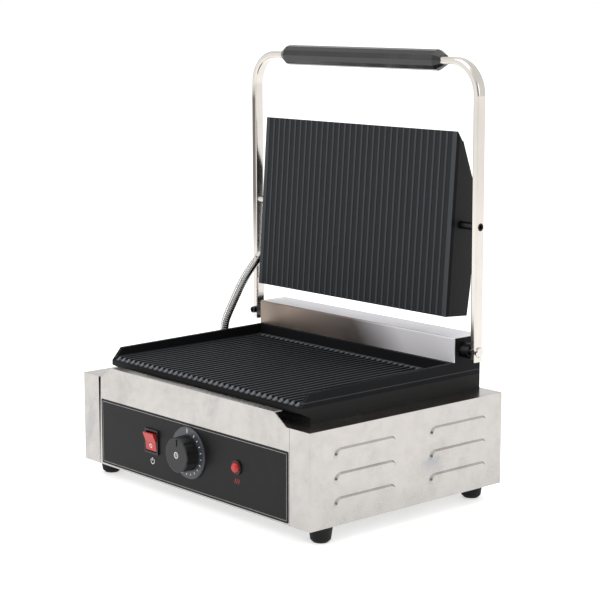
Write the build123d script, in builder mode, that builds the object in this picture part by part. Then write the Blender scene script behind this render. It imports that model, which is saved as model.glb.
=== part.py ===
"""Commercial contact grill: steel base, ribbed cast plates, sprung handle frame.

Units are millimetres.  The origin is under the middle of the case, on the surface
the feet stand on.  The controls face -Y, +X is to the right and +Z is up.
The handle stands open: joint value 0 of every moving piece.
"""
from build123d import *
from math import cos, pi, radians, sin, tan
import os

os.makedirs("parts", exist_ok=True)

# ---------------------------------------------------------------- driving sizes
case_width = 410.0
case_depth = 296.0
case_height = 106.5
foot_height = 18.5
sheet = 1.0                 # stainless sheet of the base
flange = 32.0               # how far each side cover wraps round to front, back, top
seam = 0.4                  # gap between neighbouring sheets
bend_radius = 2.0
return_deep = 16.0          # flanges folded in at the foot of the panels

wall = 4.5                  # side walls of the lower casting
rib_height = 4.4
lower_rib_count = 36

shaft_radius = 6.0
running_gap = 0.05          # radial clearance of a turning fit
bar_thick = 8.3             # flat polished bar of the handle frame
arm_lean = 0.3              # degrees forward of upright when open
pivot_reach = 143.0         # hinge axis to the upper plate's pivots
handle_reach = 327.0        # hinge axis to the middle of the cross bar
handle_bend = 38.0
grip_length = 255.0
grip_radius = 12.2
grip_facets = 12
cone_length = 11.0

upper_length = 210.0
upper_lean = 4.0            # degrees back from upright when open
face_offset = 15.2          # pivots to the upper cooking surface
upper_rib_count = 33
closing_gap = 0.5           # between the two cooking surfaces when shut
pin_radius = 4.5
hose_radius = 5.6

# ---------------------------------------------------------------- derived sizes
case_bottom = foot_height
case_top = case_bottom + case_height
case_middle = (case_bottom + case_top) / 2
half_width = case_width / 2
half_depth = case_depth / 2
panel_half = half_width - flange - seam
front = -half_depth

plate_width = case_width - 69.0         # lower casting, over its side walls
plate_half = plate_width / 2
tray_front = front + 18.5               # front lip of the lower casting
tray_rear = half_depth - 48.5           # inner face of its rear wall
casting_rear = half_depth - 1.5
rib_tip_z = case_top + 22.4             # height of the lower cooking surface
upper_width = case_width - 82.0

bar_deep = 2 * shaft_radius + 1.4
arm_outer_x = half_width - 10.1         # outer face of each arm
arm_x = arm_outer_x - bar_thick / 2
lean_sum = radians(arm_lean + upper_lean)
shaft_y = half_depth - 30.0             # handle hinge axis
shaft_z = rib_tip_z + closing_gap + face_offset + pivot_reach * sin(lean_sum)
pivot_y = shaft_y - pivot_reach * sin(radians(arm_lean))
pivot_z = shaft_z + pivot_reach * cos(radians(arm_lean))

arm_up = Vector(0, -sin(radians(arm_lean)), cos(radians(arm_lean)))
arm_plane = Plane(origin=(0, shaft_y, shaft_z), x_dir=(1, 0, 0), z_dir=arm_up.cross(Vector(1, 0, 0)) * -1)

lean = radians(upper_lean)
face_up = Vector(0, sin(lean), cos(lean))
face_out = Vector(0, -cos(lean), sin(lean))
pivot_point = Vector(0, pivot_y, pivot_z)
face_centre = pivot_point + face_out * face_offset
# side view of the upper plate: x runs up the face, y runs back from it
side_view = Plane(origin=face_centre, x_dir=face_up, z_dir=(-1, 0, 0))


def save(part, name):
    """Label a finished piece and write it as one STEP file."""
    part.label = name
    export_step(part, f"parts/{name}.step")


def side_plane(x, height=0.0):
    """Plane facing outward at x, with local x along the case and local y up."""
    sign = 1 if x > 0 else -1
    return Plane(origin=(x, 0, height), x_dir=(0, sign, 0), z_dir=(sign, 0, 0))


def yz_plane(x):
    """Plane at x whose local x is +Y and local y is +Z."""
    return Plane(origin=(x, 0, 0), x_dir=(0, 1, 0), z_dir=(1, 0, 0))


def front_plane(y):
    """Plane facing the user at y, with local x along +X and local y up."""
    return Plane(origin=(0, y, 0), x_dir=(1, 0, 0), z_dir=(0, -1, 0))


# ---------------------------------------------------------------- side covers
louvre_length = 91.0
louvre_height = 11.5
louvre_out = 2.4
louvre_pitch_y = 143.5
louvre_pitch_z = 26.8
louvre_shift = 4.0          # the louvres sit a little behind the middle of the case
louvre_middle_z = case_middle - 6.75
louvre_taper = 40.0
cut_over = 0.01             # how far a cut runs past the face it opens
front_foot = (half_width - 15.0, front + 29.0)
rear_foot = (half_width - 27.0, half_depth - 21.0)
foot_screw_radius = 2.5
hose_foot = Vector(17.0 - half_width, 56.0, case_top)
hose_hole_radius = hose_radius + 1.0


def louvre_pads(base, length, height, amount):
    """A grid of round-cornered pads standing out of a side panel."""
    with BuildPart() as pads:
        with BuildSketch(base):
            with Locations((louvre_shift, 0)):
                with GridLocations(louvre_pitch_y, louvre_pitch_z, 2, 3):
                    RectangleRounded(length, 2 * height, height * 0.75)
        extrude(amount=amount, taper=louvre_taper)
    return pads.part


for name, sign in (("left_side_cover", -1), ("right_side_cover", 1)):
    outer_face = side_plane(sign * half_width, louvre_middle_z)
    inner_face = side_plane(sign * (half_width - sheet), louvre_middle_z)
    with BuildPart() as louvres:
        add(louvre_pads(outer_face, louvre_length, louvre_height, louvre_out))
        with BuildSketch(outer_face):
            with Locations((louvre_shift, -louvre_height / 2 - cut_over)):
                with GridLocations(louvre_pitch_y, louvre_pitch_z, 2, 3):
                    Rectangle(louvre_length + 2 * sheet, louvre_height + 2 * cut_over)
        extrude(amount=louvre_out + sheet, mode=Mode.SUBTRACT)
        core = louvre_pads(outer_face, louvre_length - 2 * sheet, louvre_height - sheet, louvre_out - sheet)
        add(core, mode=Mode.SUBTRACT)
    with BuildPart() as cover:
        with BuildSketch(Plane.XY.offset(case_bottom)) as footprint:
            with Locations((sign * (half_width - flange / 2), 0)):
                Rectangle(flange, case_depth)
            outer_corners = footprint.vertices().group_by(Axis.X)[-1 if sign > 0 else 0]
            fillet(outer_corners, bend_radius)
        extrude(amount=case_height)
        with BuildSketch(Plane.XY.offset(case_bottom + sheet)) as hollow:
            with Locations((sign * (half_width - sheet - flange / 2), 0)):
                Rectangle(flange, case_depth - 2 * sheet)
            inner_corners = hollow.vertices().group_by(Axis.X)[-1 if sign > 0 else 0]
            fillet(inner_corners, bend_radius - sheet)
        extrude(amount=case_height - 2 * sheet, mode=Mode.SUBTRACT)
        with BuildSketch(inner_face):
            with Locations((louvre_shift, (louvre_height - sheet) / 2)):
                with GridLocations(louvre_pitch_y, louvre_pitch_z, 2, 3):
                    Rectangle(louvre_length - 8 * sheet, louvre_height - sheet)
        extrude(amount=sheet, mode=Mode.SUBTRACT)
        with Locations(
            (sign * front_foot[0], front_foot[1], case_bottom + sheet),
            (sign * rear_foot[0], rear_foot[1], case_bottom + sheet),
        ):
            Hole(foot_screw_radius, depth=2 * sheet)
        if sign < 0:
            with BuildSketch(Plane.XY.offset(case_top - sheet)):
                with Locations((hose_foot.X, hose_foot.Y)):
                    Circle(hose_hole_radius)
            extrude(amount=sheet, mode=Mode.SUBTRACT)
        add(louvres.part)
    save(cover.part, name)

# ---------------------------------------------------------------- front panel
panel_sheet = 1.2
raised_top = case_top + 13.5    # the middle of the front panel rises above the covers
raised_half = half_width - 57.4
chamfer_foot = half_width - 37.5
lip_deep = 12.0             # the raised edge is folded back over the plate's lip
wedge = 4.0                 # the panel's left edge leans away from the cover
control_z = case_middle - 6.25
spindle_hole = 5.0
lamp_hole = 5.2
switch_x = -67.0
dial_x = 2.0
lamp_x = 86.5
switch_width = 25.0
switch_tall = 29.0
switch_bezel = 1.5          # how far the bezel covers the edge of its opening
lamp_ring_radius = 8.0



def control_openings():
    """The openings for the switch, the thermostat's spindle and the lamp."""
    with BuildSketch() as openings:
        with Locations((switch_x, control_z)):
            Rectangle(switch_width - 2 * switch_bezel, switch_tall - 2 * switch_bezel)
        with Locations((dial_x, control_z)):
            Circle(spindle_hole)
        with Locations((lamp_x, control_z)):
            Circle(lamp_hole)
    return openings.sketch


with BuildPart() as front_panel:
    with BuildSketch(front_plane(front + panel_sheet)):
        with BuildLine():
            Polyline(
                (-panel_half, case_bottom),
                (panel_half, case_bottom),
                (panel_half, case_top),
                (chamfer_foot, case_top),
                (raised_half, raised_top),
                (-raised_half, raised_top),
                (-chamfer_foot, case_top),
                (-panel_half + wedge, case_top),
                close=True,
            )
        make_face()
        add(control_openings(), mode=Mode.SUBTRACT)
    extrude(amount=panel_sheet)
    with BuildSketch(Plane.XY.offset(raised_top - panel_sheet)):
        with Locations((0, front + lip_deep / 2)):
            Rectangle(2 * raised_half, lip_deep)
    extrude(amount=panel_sheet)
    with BuildSketch(Plane.XY.offset(case_bottom)):
        with Locations((0, front + return_deep / 2)):
            Rectangle(2 * panel_half, return_deep)
    extrude(amount=panel_sheet)
    for sign in (-1, 1):
        with BuildSketch(Plane.XY.offset(case_bottom)):
            with Locations((sign * (panel_half - wedge - panel_sheet), front + return_deep / 2)):
                Rectangle(panel_sheet, return_deep)
        extrude(amount=case_height - 2 * sheet)
save(front_panel.part, "front_panel")

label_left = 37.5 - half_width
label_right = half_width - 33.8
label_low = case_bottom + 2.2
label_high = case_top - 26.0
label_film = 0.4
label_corner = 1.5
with BuildPart() as control_label:
    with BuildSketch(front_plane(front)):
        with Locations(((label_left + label_right) / 2, (label_low + label_high) / 2)):
            RectangleRounded(label_right - label_left, label_high - label_low, label_corner)
        add(control_openings(), mode=Mode.SUBTRACT)
    extrude(amount=label_film)
save(control_label.part, "control_label")
label_face = front - label_film

# ---------------------------------------------------------------- rear panel and bottom
gland_x = 120.0
gland_z = 50.0
gland_radius = 10.0
vent_length = 34.0
vent_height = 3.5
vent_web = 10.0             # metal left between neighbouring slots
vent_middle = (20.0, case_middle)

with BuildPart() as rear_panel:
    with BuildSketch(Plane(origin=(0, half_depth, 0), x_dir=(-1, 0, 0), z_dir=(0, 1, 0))):
        with Locations((0, case_middle)):
            Rectangle(2 * panel_half, case_height)
        with Locations((-gland_x, gland_z)):
            Circle(gland_radius, mode=Mode.SUBTRACT)
        with Locations(vent_middle):
            with GridLocations(vent_length + vent_web, 2.5 * vent_height, 4, 5):
                SlotOverall(vent_length, vent_height, mode=Mode.SUBTRACT)
    extrude(amount=-sheet)
    with BuildSketch(Plane.XY.offset(case_bottom)):
        with Locations((0, half_depth - return_deep / 2)):
            Rectangle(2 * panel_half, return_deep)
    extrude(amount=sheet)
save(rear_panel.part, "rear_panel")

bottom_depth = case_depth - 2 * (return_deep + seam)
bottom_rim = 14.0
with BuildPart() as bottom_plate:
    with BuildSketch(Plane.XY.offset(case_bottom)):
        Rectangle(2 * panel_half, bottom_depth)
        with GridLocations(vent_length + vent_web, 3 * vent_height, 6, 7):
            SlotOverall(vent_length, vent_height, mode=Mode.SUBTRACT)
    extrude(amount=sheet)
    for sign in (-1, 1):
        with BuildSketch(Plane.XY.offset(case_bottom)):
            with Locations((sign * (panel_half - sheet / 2), 0)):
                Rectangle(sheet, bottom_depth)
        extrude(amount=bottom_rim)
save(bottom_plate.part, "bottom_plate")

# deck: the sheet round the lower casting, level with the covers
deck_front = front + panel_sheet + seam
deck_rear = half_depth - sheet - seam
with BuildPart() as deck:
    with BuildSketch(Plane.XY.offset(case_top)):
        with Locations((0, (deck_front + deck_rear) / 2)):
            Rectangle(2 * panel_half, deck_rear - deck_front)
        Rectangle(plate_width - 41.0, case_depth - 96.0, mode=Mode.SUBTRACT)
    extrude(amount=-sheet)
save(deck.part, "deck")

# ---------------------------------------------------------------- feet
foot_top_radius = 13.4
foot_low_radius = 11.2
foot_edge = 3.0             # bevel round the standing face
foot_bore = 4.6             # the screw's head sits up inside the foot
foot_shelf = 8.0
screw_head_radius = 4.2
screw_head_low = 5.2
screw_shank_radius = foot_screw_radius - running_gap
nut_radius = 4.4
nut_thick = 4.0
nut_low = case_bottom + sheet
screw_end = nut_low + nut_thick + 2.0
foot_spots = [
    (side * x, y) for x, y in (front_foot, rear_foot) for side in (-1, 1)
]
with BuildPart() as rubber_feet:
    for x, y in foot_spots:
        with BuildSketch(Plane(origin=(x, y, 0), x_dir=(1, 0, 0), z_dir=(0, -1, 0))):
            with BuildLine():
                Polyline(
                    (foot_bore, 0), (foot_low_radius - foot_edge, 0), (foot_low_radius, foot_edge),
                    (foot_top_radius, case_bottom), (foot_screw_radius, case_bottom),
                    (foot_screw_radius, foot_shelf), (foot_bore, foot_shelf), close=True,
                )
            make_face()
        revolve(axis=Axis((x, y, 0), (0, 0, 1)))
save(rubber_feet.part, "rubber_feet")

with BuildPart() as foot_screws:
    for x, y in foot_spots:
        with BuildSketch(Plane(origin=(x, y, 0), x_dir=(1, 0, 0), z_dir=(0, -1, 0))):
            with BuildLine():
                Polyline(
                    (0, screw_head_low), (screw_head_radius, screw_head_low),
                    (screw_head_radius, foot_shelf), (screw_shank_radius, foot_shelf),
                    (screw_shank_radius, nut_low), (nut_radius, nut_low),
                    (nut_radius, nut_low + nut_thick), (screw_shank_radius, nut_low + nut_thick),
                    (screw_shank_radius, screw_end), (0, screw_end), close=True,
                )
            make_face()
        revolve(axis=Axis((x, y, 0), (0, 0, 1)))
save(foot_screws.part, "foot_screws")

# ---------------------------------------------------------------- lower plate
wall_front_z = rib_tip_z + 9.6      # top of the side walls, sloping up to the back
wall_rear_z = rib_tip_z + 12.4
lip_low_z = rib_tip_z - 10.4
lip_thick = 14.0
valley_z = rib_tip_z - rib_height
rib_bevel = 5.5             # the ribs' front ends slope down over this length
rib_run_out = 4.5           # at the back the grooves slope up to the ribs' tips
ear_thick = 7.0
ear_front = tray_rear + 5.1
ear_length = 30.0           # along the top of the ears
ear_top = rib_tip_z + 40.4
deck_z = rib_tip_z + 6.6
deck_thick = 7.0
floor_thick = 8.0
skirt_wall = 7.0            # the casting's walls below the tray
bush_radius = shaft_radius + 2.5
above = 60.0                # how far a cut from above reaches up


def rib_row(count, width, tip, base, height):
    """Cross-section of a row of ribs, standing up from local y = -height to 0."""
    with BuildSketch() as rib:
        with BuildLine():
            Polyline(
                (-base / 2, -height - 0.5), (base / 2, -height - 0.5), (base / 2, -height),
                (tip / 2, 0), (-tip / 2, 0), (-base / 2, -height), close=True,
            )
        make_face()
    with BuildSketch() as row:
        with GridLocations(width / count, 1, count, 1):
            add(rib.sketch)
    return row.sketch


with BuildPart() as lower_plate:
    with BuildSketch(yz_plane(0)):
        with BuildLine():
            Polyline(
                (tray_front, lip_low_z),
                (tray_front, valley_z),
                (tray_front + 12.5, wall_front_z),
                (tray_rear + 3, wall_rear_z),
                (ear_front, wall_rear_z),
                (ear_front, ear_top),
                (ear_front + ear_length, ear_top),
                (casting_rear, deck_z + 12),
                (casting_rear, case_top),
                (tray_front + lip_thick, case_top),
                (tray_front + lip_thick, lip_low_z - 7),
                close=True,
            )
        make_face()
    extrude(amount=plate_half, both=True)
    # the tray between the side walls, open at the front
    with BuildSketch(Plane.XY.offset(valley_z)):
        with Locations((0, (tray_front - 5 + tray_rear) / 2)):
            Rectangle(plate_width - 2 * wall, tray_rear - tray_front + 5)
    extrude(amount=above, mode=Mode.SUBTRACT)
    # the open space between the ears, above the rear deck
    with BuildSketch(Plane.XY.offset(deck_z)):
        with Locations((0, (ear_front + casting_rear + 5) / 2)):
            Rectangle(plate_width - 2 * ear_thick, casting_rear + 5 - ear_front)
    extrude(amount=above, mode=Mode.SUBTRACT)
    # the hollow underside
    with BuildSketch(Plane.XY.offset(case_top)):
        with Locations((0, (tray_front + lip_thick + skirt_wall + tray_rear) / 2)):
            Rectangle(plate_width - 2 * skirt_wall, tray_rear - tray_front - lip_thick - skirt_wall)
    extrude(amount=valley_z - floor_thick - case_top, mode=Mode.SUBTRACT)
    with BuildSketch(Plane.XY.offset(case_top)):
        with Locations((0, (ear_front + casting_rear) / 2)):
            Rectangle(plate_width - 2 * skirt_wall, casting_rear - ear_front - 2 * skirt_wall)
    extrude(amount=deck_z - deck_thick - case_top, mode=Mode.SUBTRACT)
    with Locations(Plane(origin=(0, shaft_y, shaft_z), z_dir=(1, 0, 0))):
        Cylinder(bush_radius, 2 * plate_half + 2, mode=Mode.SUBTRACT)
    with BuildSketch(front_plane(tray_rear + 0.2)):
        with Locations((0, rib_tip_z)):
            add(rib_row(lower_rib_count, plate_width - 2 * wall, 2.2, 6.4, rib_height))
    extrude(amount=tray_rear - tray_front)
    # front ends of the ribs, bevelled down to the lip
    with BuildSketch(yz_plane(0)):
        with BuildLine():
            Polyline(
                (tray_front - 1, valley_z), (tray_front, valley_z), (tray_front + rib_bevel, rib_tip_z),
                (tray_front + rib_bevel, rib_tip_z + 2), (tray_front - 1, rib_tip_z + 2), close=True,
            )
        make_face()
    extrude(amount=plate_half - wall - cut_over, both=True, mode=Mode.SUBTRACT)
    # rear ends of the grooves, sloping up to the ribs' tips before the rear wall
    with BuildSketch(yz_plane(0)):
        with BuildLine():
            Polyline(
                (tray_rear - 2 * rib_run_out, valley_z - 0.5), (tray_rear - 2 * rib_run_out, valley_z),
                (tray_rear - rib_run_out, rib_tip_z), (tray_rear + 0.2, rib_tip_z),
                (tray_rear + 0.2, valley_z - 0.5), close=True,
            )
        make_face()
    extrude(amount=plate_half - wall, both=True)
save(lower_plate.part, "lower_plate")

# ---------------------------------------------------------------- rear hinge cover
cover_sheet = 1.0
cover_front = ear_front - 0.2 - cover_sheet
cover_low = wall_rear_z + 0.2
cover_top = ear_top + 0.2 + cover_sheet
cover_rear = casting_rear - 0.5
with BuildPart() as hinge_cover:
    with BuildSketch(yz_plane(0)):
        with BuildLine():
            FilletPolyline(
                (cover_front, cover_low),
                (cover_front, cover_top),
                (cover_rear, cover_top),
                (cover_rear, cover_top - 20),
                radius=1.6,
            )
            Line((cover_rear, cover_top - 20), (cover_rear - cover_sheet, cover_top - 20))
            FilletPolyline(
                (cover_rear - cover_sheet, cover_top - 20),
                (cover_rear - cover_sheet, cover_top - cover_sheet),
                (cover_front + cover_sheet, cover_top - cover_sheet),
                (cover_front + cover_sheet, cover_low),
                radius=0.6,
            )
            Line((cover_front + cover_sheet, cover_low), (cover_front, cover_low))
        make_face()
    extrude(amount=plate_half, both=True)
save(hinge_cover.part, "hinge_cover")

# ---------------------------------------------------------------- hinge shaft, bushes, springs
shaft_axis_plane = Plane(origin=(0, shaft_y, shaft_z), x_dir=(0, 1, 0), z_dir=(1, 0, 0))
shaft_end = arm_outer_x + 2.2
with BuildPart() as hinge_shaft:
    with BuildSketch(shaft_axis_plane):
        Circle(shaft_radius)
    extrude(amount=shaft_end, both=True)
    chamfer(hinge_shaft.edges().filter_by(GeomType.CIRCLE), 1.0)
save(hinge_shaft.part, "hinge_shaft")

with BuildPart() as shaft_bushes:
    for sign in (-1, 1):
        with BuildSketch(shaft_axis_plane.offset(sign * (plate_half - ear_thick))):
            Circle(bush_radius)
            Circle(shaft_radius + running_gap, mode=Mode.SUBTRACT)
        extrude(amount=sign * (ear_thick + 0.5))
        with BuildSketch(shaft_axis_plane.offset(sign * (plate_half - ear_thick - 2.0))):
            Circle(bush_radius + 2)
            Circle(shaft_radius + running_gap, mode=Mode.SUBTRACT)
        extrude(amount=sign * 2.0)
save(shaft_bushes.part, "shaft_bushes")

collar_outer = shaft_radius + 4.5
collar_long = 10.0
spring_wire = 1.5
spring_mean = shaft_radius + 4.0
spring_turns = 8
spring_pitch = 3.6
seat_x = 80.0
seat_thick = 8.0
spring_x = seat_x + seat_thick / 2 + spring_wire
collar_x = spring_x + spring_pitch * spring_turns + spring_wire + 0.4
with BuildPart() as spring_collars:
    for sign in (-1, 1):
        with BuildSketch(shaft_axis_plane.offset(sign * collar_x)):
            Circle(collar_outer)
            Circle(shaft_radius, mode=Mode.SUBTRACT)
        extrude(amount=sign * collar_long)
save(spring_collars.part, "spring_collars")

with BuildPart() as torsion_springs:
    for sign in (-1, 1):
        start = Vector(sign * spring_x, shaft_y, shaft_z)
        with BuildLine() as coil:
            Helix(spring_pitch, spring_pitch * spring_turns, spring_mean, center=start, direction=(sign, 0, 0))
        with BuildSketch(Plane(origin=coil.line @ 0, z_dir=coil.line % 0)):
            Circle(spring_wire)
        sweep(path=coil.line, is_frenet=True)
save(torsion_springs.part, "torsion_springs")

# spring seats: saddles on the casting's deck that carry the springs' fixed ends
with BuildPart() as spring_seats:
    for sign in (-1, 1):
        with BuildSketch(Plane.XY.offset(deck_z)):
            with Locations((sign * seat_x, shaft_y)):
                Rectangle(seat_thick, 24.0)
        extrude(amount=shaft_z - deck_z + 9)
        with Locations(Plane(origin=(sign * seat_x, shaft_y, shaft_z), z_dir=(1, 0, 0))):
            Cylinder(shaft_radius + 1.0, seat_thick + 2, mode=Mode.SUBTRACT)
save(spring_seats.part, "spring_seats")

# ---------------------------------------------------------------- handle frame
foot_drop = 11.2            # the arms run past the hinge axis
bar_edge = 2.4              # rounding of the bar's edges
clamp_shank = 2.5
with BuildPart() as handle_frame:
    with BuildLine(arm_plane) as frame_path:
        FilletPolyline(
            (-arm_x, -foot_drop), (-arm_x, handle_reach), (arm_x, handle_reach), (arm_x, -foot_drop),
            radius=handle_bend,
        )
    with BuildSketch(Plane(origin=frame_path.line @ 0, x_dir=(1, 0, 0), z_dir=frame_path.line % 0)):
        RectangleRounded(bar_thick, bar_deep, bar_edge)
    sweep(path=frame_path.line)
    with Locations(Plane(origin=(0, shaft_y, shaft_z), z_dir=(1, 0, 0))):
        Cylinder(shaft_radius, 2 * arm_outer_x + 2, mode=Mode.SUBTRACT)
    with Locations(Plane(origin=pivot_point, z_dir=(1, 0, 0))):
        Cylinder(pin_radius, 2 * arm_outer_x + 2, mode=Mode.SUBTRACT)
    for sign in (-1, 1):
        with BuildSketch(arm_plane.offset(bar_deep)):
            with Locations((sign * arm_x, 0)):
                Circle(clamp_shank)
        extrude(amount=-(bar_deep - shaft_radius + 1), mode=Mode.SUBTRACT)
save(handle_frame.part, "handle_frame")

# black socket screws that lock the arms to the shaft, in the front edge of each arm
clamp_head = 4.1
clamp_head_high = 4.8
hexagon_deep = 2.4
with BuildPart() as arm_clamp_screws:
    for sign in (-1, 1):
        with BuildSketch(arm_plane.offset(bar_deep / 2)):
            with Locations((sign * arm_x, 0)):
                Circle(clamp_head)
        extrude(amount=clamp_head_high)
        with BuildSketch(arm_plane.offset(bar_deep / 2)):
            with Locations((sign * arm_x, 0)):
                Circle(clamp_shank)
        extrude(amount=-(bar_deep / 2 - shaft_radius))
        with BuildSketch(arm_plane.offset(bar_deep / 2 + clamp_head_high)):
            with Locations((sign * arm_x, 0)):
                RegularPolygon(2.2, 6)
        extrude(amount=-hexagon_deep, mode=Mode.SUBTRACT)
save(arm_clamp_screws.part, "arm_clamp_screws")

# spacers on the shaft, between the ears and the arms
with BuildPart() as shaft_spacers:
    for sign in (-1, 1):
        with BuildSketch(shaft_axis_plane.offset(sign * (plate_half + 1.0))):
            Circle(shaft_radius + 3.0)
            Circle(shaft_radius, mode=Mode.SUBTRACT)
        extrude(amount=sign * (arm_outer_x - bar_thick - plate_half - 1.0))
save(shaft_spacers.part, "shaft_spacers")

# grip: a faceted sleeve with coned ends on the cross bar
grip_axis = arm_plane.origin + arm_up * handle_reach
grip_plane = Plane(origin=grip_axis, x_dir=arm_up, z_dir=(1, 0, 0))
with BuildPart() as handle_grip:
    with BuildSketch(grip_plane):
        RegularPolygon(grip_radius, grip_facets)
    extrude(amount=grip_length / 2, both=True)
    for sign in (-1, 1):
        with BuildSketch(grip_plane.offset(sign * grip_length / 2)):
            RegularPolygon(grip_radius, grip_facets)
        extrude(amount=sign * cone_length, taper=28.0)
    with BuildSketch(grip_plane):
        RectangleRounded(bar_thick, bar_deep, bar_edge)
    extrude(amount=grip_length, both=True, mode=Mode.SUBTRACT)
save(handle_grip.part, "handle_grip")

# ---------------------------------------------------------------- upper plate
half_length = upper_length / 2
upper_half = upper_width / 2
back_low = 35.4             # thickness at the hinge end, lid included
back_full = 38.5
skirt = 6.0                 # side walls of the casting
plate_thick = 13.0
lid_sheet = 1.2
boss_radius = 9.0
boss_long = 13.0
conduit_drop = 66.0         # from the middle of the face to the conduit, towards the hinge
conduit_back = 18.5         # from the face to the conduit
wire_hole = 5.0


def back_profile(inset):
    """Back of the upper plate from the hinge end to the free end, moved in towards the face."""
    return [
        (-half_length, back_low - inset),
        (-half_length + 37, back_full - inset),
        (half_length - 70, back_full - inset),
        (half_length - 10.6, 11.6 - inset),
    ]


with BuildPart() as upper_plate:
    with BuildSketch(side_view):
        with BuildLine():
            Polyline((-half_length, 0), *back_profile(lid_sheet), (half_length, 2.0), (half_length, 0), close=True)
        make_face()
    extrude(amount=upper_half, both=True)
    with BuildSketch(side_view):
        with BuildLine():
            Polyline(
                (-half_length + skirt, plate_thick),
                (-half_length + skirt, back_full + 5),
                (half_length - 80, back_full + 5),
                (half_length - 24, plate_thick),
                close=True,
            )
        make_face()
    extrude(amount=upper_half - skirt, both=True, mode=Mode.SUBTRACT)
    # bosses for the pivot pins, inside the side walls
    for sign in (-1, 1):
        boss_plane = Plane(origin=pivot_point + Vector(sign * (upper_half - skirt), 0, 0),
                           x_dir=face_up, z_dir=(-sign, 0, 0))
        with BuildSketch(boss_plane):
            Circle(boss_radius)
        extrude(amount=boss_long)
        with BuildSketch(boss_plane.offset(-skirt - 1)):
            Circle(pin_radius + running_gap)
        extrude(amount=skirt + boss_long - 1, mode=Mode.SUBTRACT)
    # wiring hole in the left wall, under the conduit's gland
    conduit_exit = face_centre - face_out * conduit_back - face_up * conduit_drop
    with BuildSketch(Plane(origin=conduit_exit + Vector(-upper_half - 1, 0, 0), x_dir=face_up, z_dir=(1, 0, 0))):
        Circle(wire_hole)
    extrude(amount=skirt + 2, mode=Mode.SUBTRACT)
    # grooves between the ribs of the cooking face
    pitch = 2 * upper_half / upper_rib_count
    grooves_plane = Plane(origin=face_centre - face_up * (half_length + 1), x_dir=(-1, 0, 0), z_dir=face_up)
    with BuildSketch(grooves_plane):
        with Locations((0, rib_height)):
            add(rib_row(upper_rib_count - 1, (upper_rib_count - 1) * pitch, 3.2, 7.4, rib_height))
    extrude(amount=upper_length + 2, mode=Mode.SUBTRACT)
save(upper_plate.part, "upper_plate")

# black sheet lid that closes the back of the upper plate
with BuildPart() as upper_lid:
    with BuildSketch(side_view):
        with BuildLine():
            Polyline(*back_profile(0), *reversed(back_profile(lid_sheet)), close=True)
        make_face()
    extrude(amount=upper_half, both=True)
save(upper_lid.part, "upper_lid")

# pivot pins: pressed into the arms, turning in the bosses of the upper plate
pin_inner = upper_half - skirt - 10.0
with BuildPart() as pivot_pins:
    for sign in (-1, 1):
        pin_plane = Plane(origin=pivot_point + Vector(sign * arm_outer_x, 0, 0), x_dir=face_up, z_dir=(-sign, 0, 0))
        with BuildSketch(pin_plane):
            Circle(pin_radius)
        extrude(amount=arm_outer_x - pin_inner)
        with BuildSketch(pin_plane):
            RegularPolygon(3.0, 6)
        extrude(amount=4.0, mode=Mode.SUBTRACT)
save(pivot_pins.part, "pivot_pins")


# ---------------------------------------------------------------- heating
element_radius = 4.0
element_gap = 0.1           # between the element and what it is clamped between
clamp_sheet = 1.5
element_runs = 4
lower_heat_middle = (tray_front + tray_rear) / 2 + 10.0
heat_shift = 20.0           # the upper element sits towards the hinge


def serpentine(half_span, length_step, loops):
    """Corner points of a tubular element that runs to and fro across a plate."""
    points = []
    for i in range(loops):
        side = 1 if i % 2 == 0 else -1
        level = (i - (loops - 1) / 2) * length_step
        points.append((-side * half_span, level))
        points.append((side * half_span, level))
    return points


def element(plane, half_span, step, loops):
    """A bent tubular heater lying in the given plane."""
    points = serpentine(half_span, step, loops)
    with BuildPart() as heater:
        with BuildLine(plane) as route:
            FilletPolyline(*points, radius=step / 2 - 0.5)
        with BuildSketch(Plane(origin=route.line @ 0, z_dir=route.line % 0)):
            Circle(element_radius)
        sweep(path=route.line)
    return heater.part


lower_element_z = valley_z - floor_thick - element_radius - element_gap
lower_element_plane = Plane(origin=(0, lower_heat_middle, lower_element_z))
lower_step = (tray_rear - tray_front - 97.0) / (element_runs - 1)
save(element(lower_element_plane, plate_half - 30.5, lower_step, element_runs), "lower_heating_element")
element_depth = plate_thick + element_radius + element_gap
upper_element_plane = Plane(origin=face_centre - face_out * element_depth - face_up * heat_shift,
                            x_dir=(1, 0, 0), z_dir=face_out)
upper_step = (upper_length - 102.0) / (element_runs - 1)
save(element(upper_element_plane, upper_half - 32.0, upper_step, element_runs), "upper_heating_element")

with BuildPart() as lower_clamp_plate:
    with BuildSketch(Plane.XY.offset(lower_element_z - element_radius - element_gap - clamp_sheet)):
        with Locations((0, lower_heat_middle)):
            Rectangle(plate_width - 41.0, tray_rear - tray_front - 69.0)
    extrude(amount=clamp_sheet)
save(lower_clamp_plate.part, "lower_clamp_plate")

with BuildPart() as upper_clamp_plate:
    with BuildSketch(upper_element_plane.offset(-element_radius - element_gap)):
        Rectangle(upper_width - 48.0, upper_length - 78.0)
    extrude(amount=-clamp_sheet)
save(upper_clamp_plate.part, "upper_clamp_plate")

with BuildPart() as lower_insulation:
    with BuildSketch(Plane.XY.offset(case_top - 5.0)):
        with Locations((0, lower_heat_middle)):
            Rectangle(plate_width - 31.0, tray_rear - tray_front - 49.0)
    extrude(amount=-16.0)
save(lower_insulation.part, "lower_insulation")

with BuildPart() as upper_insulation:
    with BuildSketch(upper_element_plane.offset(-element_radius - 2 * element_gap - clamp_sheet)):
        with Locations((0, -8.0)):
            Rectangle(upper_width - 48.0, upper_length - 92.0)
    extrude(amount=-9.0)
save(upper_insulation.part, "upper_insulation")

# ---------------------------------------------------------------- controls
dial_radius = 30.0
dial_thick = 3.0
knob_radius = 20.7
knob_high = 15.2
pointer_high = 0.9
knob_gap = 0.5
knob_base_y = label_face - dial_thick - knob_gap
spindle_radius = 3.0

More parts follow.
